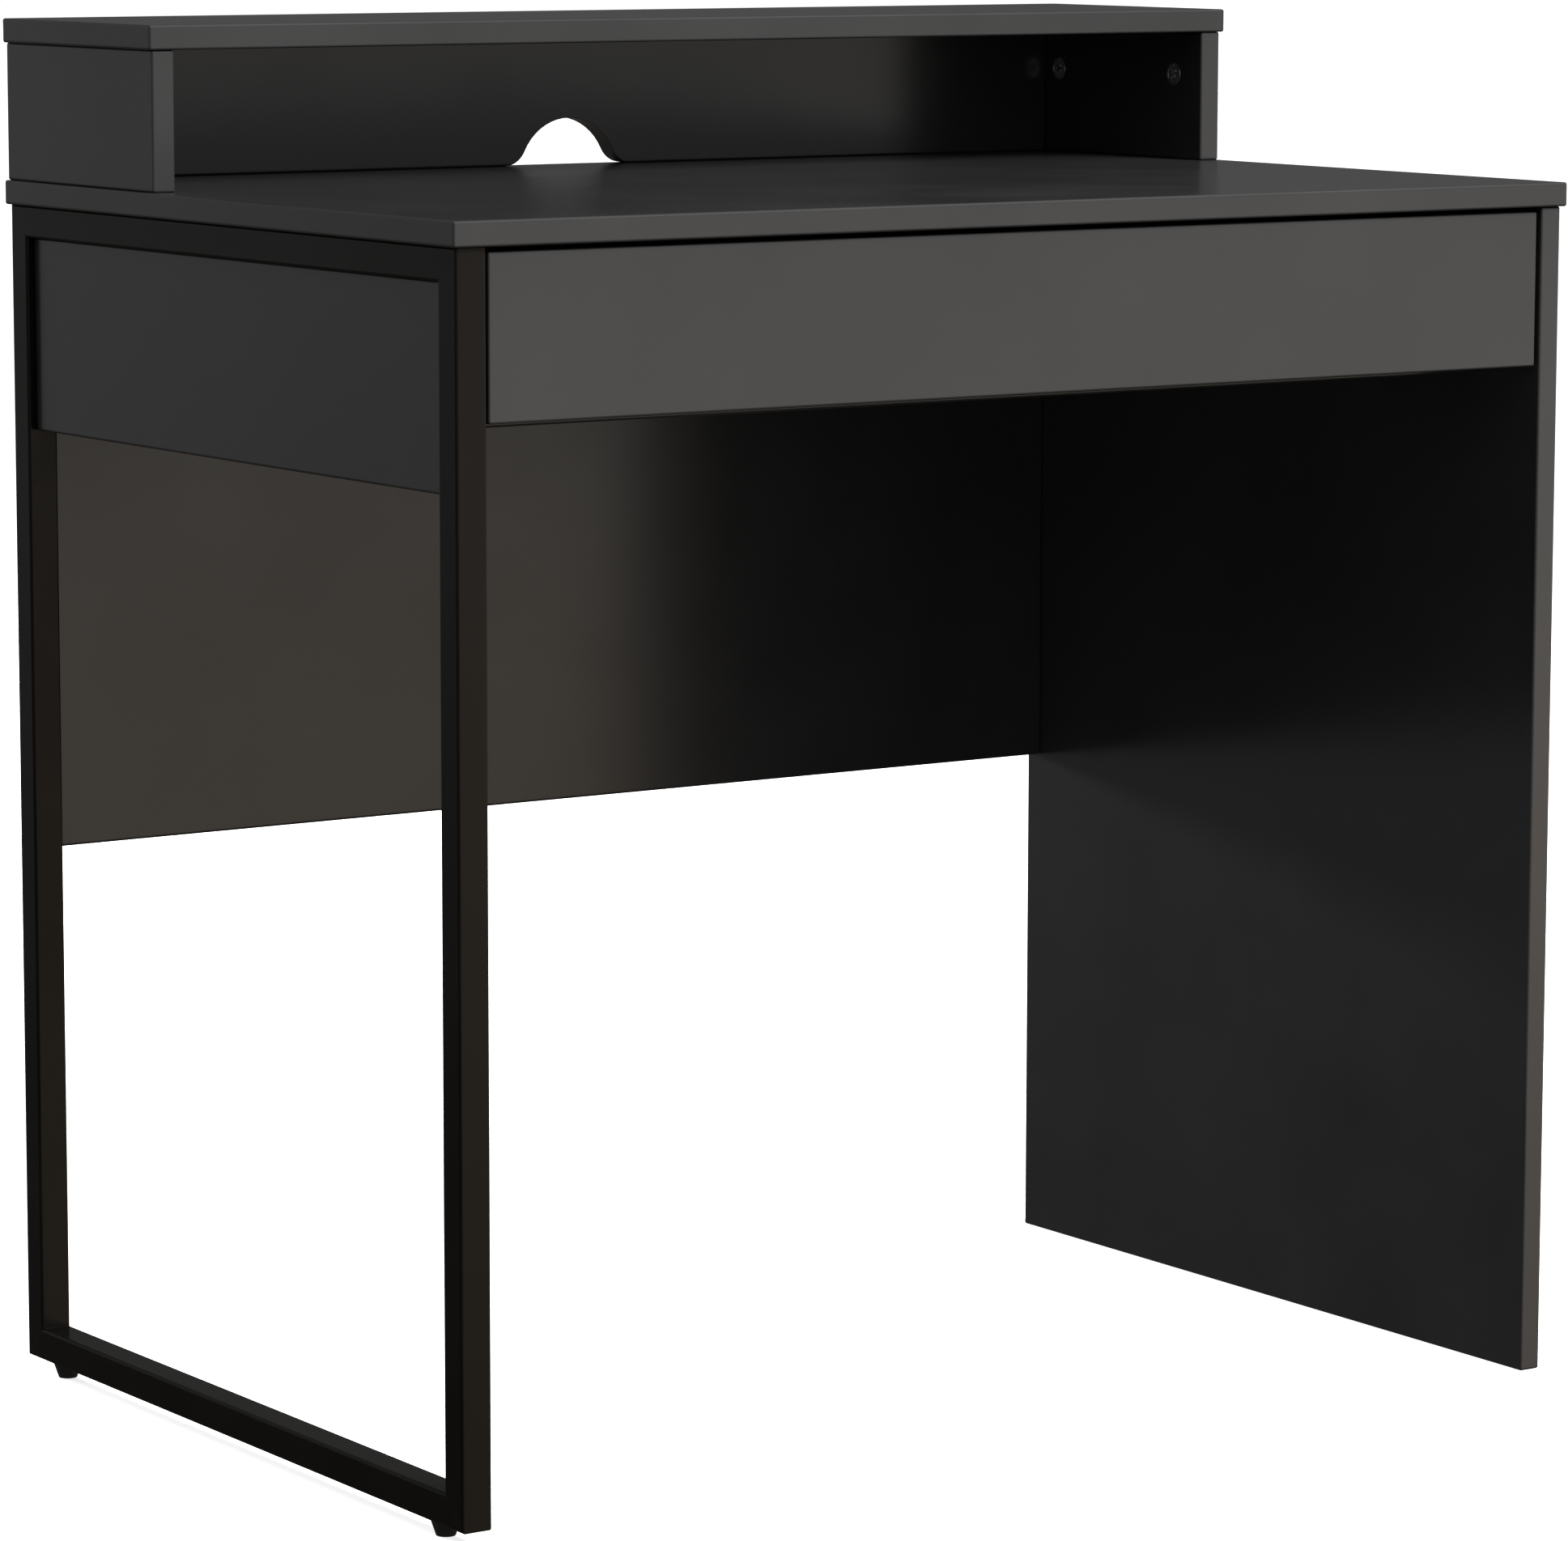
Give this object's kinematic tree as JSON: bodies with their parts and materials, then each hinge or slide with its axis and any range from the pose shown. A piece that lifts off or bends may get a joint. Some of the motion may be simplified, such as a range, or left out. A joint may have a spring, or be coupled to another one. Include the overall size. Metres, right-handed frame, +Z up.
{
  "type": "writing desk with drawer",
  "caption": "Rectangular writing desk with a low rear hutch, one wide handleless drawer on roller runners, a tube frame on the left and a panel side on the right.",
  "frame": {"origin": "on the floor, under the middle of the desktop", "axes": "+X left to right as a sitter sees it, +Y front to back, +Z up"},
  "size_m": [0.81, 0.54, 0.857],
  "materials": {
    "board": "anthracite melamine-faced board, fine pore emboss, satin",
    "drawer_board": "anthracite melamine-faced board, satin",
    "hardboard": "lacquered thin hardboard, matt",
    "frame_coat": "black powder coat, satin",
    "foot_plastic": "moulded black plastic, matt",
    "zinc_steel": "zinc-plated steel",
    "cam_metal": "die-cast zinc, dull",
    "dowel_wood": "ribbed beech dowel",
    "runner_steel": "white epoxy coat",
    "roller_nylon": "natural nylon"
  },
  "bodies": {
    "desk": {"desktop": "board", "right_side_panel": "board", "modesty_panel": "board", "left_side_panel": "board", "drawer_rail": "board", "hutch_top": "board", "hutch_side_left": "board", "hutch_side_right": "board", "hutch_back": "board", "frame_top_tube": "frame_coat", "frame_bottom_tube": "frame_coat", "frame_leg_front": "frame_coat", "frame_leg_back": "frame_coat", "frame_tabs": "frame_coat", "frame_feet": "foot_plastic", "frame_thread_inserts": "zinc_steel", "frame_top_screws": "zinc_steel", "left_panel_screws": "zinc_steel", "tab_screws": "zinc_steel", "hutch_cams": "cam_metal", "hutch_cam_bolts": "zinc_steel", "hutch_dowels": "dowel_wood", "hutch_screws": "zinc_steel", "carcass_cams": "cam_metal", "carcass_cam_bolts": "zinc_steel", "carcass_dowels": "dowel_wood", "carcass_runner_left": "runner_steel", "carcass_runner_right": "runner_steel", "carcass_runner_screws": "zinc_steel", "carcass_rivets": "zinc_steel"},
    "drawer": {"drawer_front": "board", "drawer_side_left": "drawer_board", "drawer_side_right": "drawer_board", "drawer_back": "drawer_board", "drawer_bottom": "hardboard", "drawer_cams": "cam_metal", "drawer_cam_bolts": "zinc_steel", "drawer_dowels": "dowel_wood", "drawer_back_screws": "zinc_steel", "drawer_runner_left": "runner_steel", "drawer_runner_right": "runner_steel", "drawer_runner_screws": "zinc_steel", "drawer_rivets": "zinc_steel"},
    "front_wheel_left": {"front_roller_left": "roller_nylon"},
    "front_wheel_right": {"front_roller_right": "roller_nylon"},
    "rear_wheel_left": {"rear_roller_left": "roller_nylon"},
    "rear_wheel_right": {"rear_roller_right": "roller_nylon"}
  },
  "joints": [
    {"name": "drawer_slide", "type": "slide", "parent": "desk", "child": "drawer", "axis": [0, -1, 0], "range_m": [0, 0.3]},
    {"name": "front_wheel_left_spin", "type": "hinge", "parent": "desk", "child": "front_wheel_left", "pos_m": [-0.3764, -0.23, 0.6695], "axis": [1, 0, 0], "range_deg": [0, 1800]},
    {"name": "front_wheel_right_spin", "type": "hinge", "parent": "desk", "child": "front_wheel_right", "pos_m": [0.3818, -0.23, 0.6695], "axis": [1, 0, 0], "range_deg": [0, 1800]},
    {"name": "rear_wheel_left_spin", "type": "hinge", "parent": "drawer", "child": "rear_wheel_left", "pos_m": [-0.3743, 0.136, 0.6664], "axis": [1, 0, 0], "range_deg": [0, 1800]},
    {"name": "rear_wheel_right_spin", "type": "hinge", "parent": "drawer", "child": "rear_wheel_right", "pos_m": [0.3797, 0.136, 0.6664], "axis": [1, 0, 0], "range_deg": [0, 1800]}
  ],
  "couplings": [
    {"joint": "front_wheel_left_spin", "follows": "drawer_slide", "rad_per_m": 100},
    {"joint": "front_wheel_right_spin", "follows": "drawer_slide", "rad_per_m": 100},
    {"joint": "rear_wheel_left_spin", "follows": "drawer_slide", "rad_per_m": 100},
    {"joint": "rear_wheel_right_spin", "follows": "drawer_slide", "rad_per_m": 100}
  ]
}
